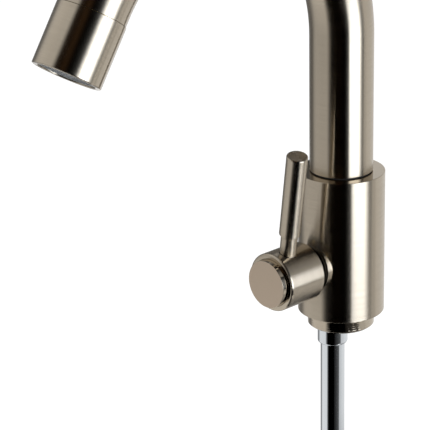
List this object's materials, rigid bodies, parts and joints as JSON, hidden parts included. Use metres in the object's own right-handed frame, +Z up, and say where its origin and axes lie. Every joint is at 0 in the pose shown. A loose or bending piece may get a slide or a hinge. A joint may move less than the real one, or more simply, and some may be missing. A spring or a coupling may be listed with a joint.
{
  "type": "deck-mounted bath filler",
  "caption": "Single-hole deck-mounted bath filler with a swivelling gooseneck spout, a quarter-turn rod lever at the front and a rigid inlet tail below the deck.",
  "frame": {"origin": "centre of the body's underside, where the body's axis meets the deck face", "axes": "+Z up along the body's axis, -Y the front, towards the lever and the spout's outlet, +X to the right of someone who faces the front"},
  "size_m": [0.0448, 0.2132, 0.4289],
  "materials": {
    "brushed_nickel": "brushed",
    "satin_nickel_cap": "satin",
    "polished_chrome": "polished",
    "turned_brass": "turned",
    "seal_rubber": "matte",
    "dark_nylon": "moulded",
    "valve_ceramic": "ground",
    "stainless_steel": "turned",
    "grey_acetal": "moulded"
  },
  "bodies": {
    "base": {"body_shell": "brushed_nickel", "base_spigot": "brushed_nickel", "deck_seal": "seal_rubber", "tail_pipe": "polished_chrome", "tail_gland_nut": "polished_chrome", "tail_sealing_ring": "seal_rubber", "stop_screw": "stainless_steel", "thrust_ring": "dark_nylon", "headwork_bonnet": "turned_brass", "bonnet_sealing_ring": "seal_rubber", "bonnet_gap_ring": "brushed_nickel", "seat_seal": "seal_rubber", "fixed_ceramic_disc": "valve_ceramic"},
    "spout": {"spout_tube": "brushed_nickel", "spout_foot": "turned_brass", "spout_sealing_rings": "seal_rubber", "tip_adaptor": "turned_brass", "tip_sleeve": "brushed_nickel", "tip_washer": "seal_rubber", "stream_screen": "stainless_steel", "stream_housing": "grey_acetal", "stream_former": "grey_acetal"},
    "lever": {"handle_sleeve": "brushed_nickel", "index_cap": "satin_nickel_cap", "index_cap_ring": "seal_rubber", "lever_rod": "brushed_nickel", "handle_hub": "turned_brass", "handle_screw": "stainless_steel", "spindle": "turned_brass", "spindle_sealing_rings": "seal_rubber", "spindle_stop_washer": "stainless_steel", "spindle_clip": "stainless_steel", "moving_ceramic_disc": "valve_ceramic"}
  },
  "joints": [
    {"name": "spout_swivel", "type": "hinge", "parent": "base", "child": "spout", "pos_m": [0, 0, 0.06], "axis": [0, 0, 1], "range_deg": [-75, 75]},
    {"name": "lever_turn", "type": "hinge", "parent": "base", "child": "lever", "pos_m": [0, -0.03, 0.0285], "axis": [0, -1, 0], "range_deg": [0, 90]}
  ]
}
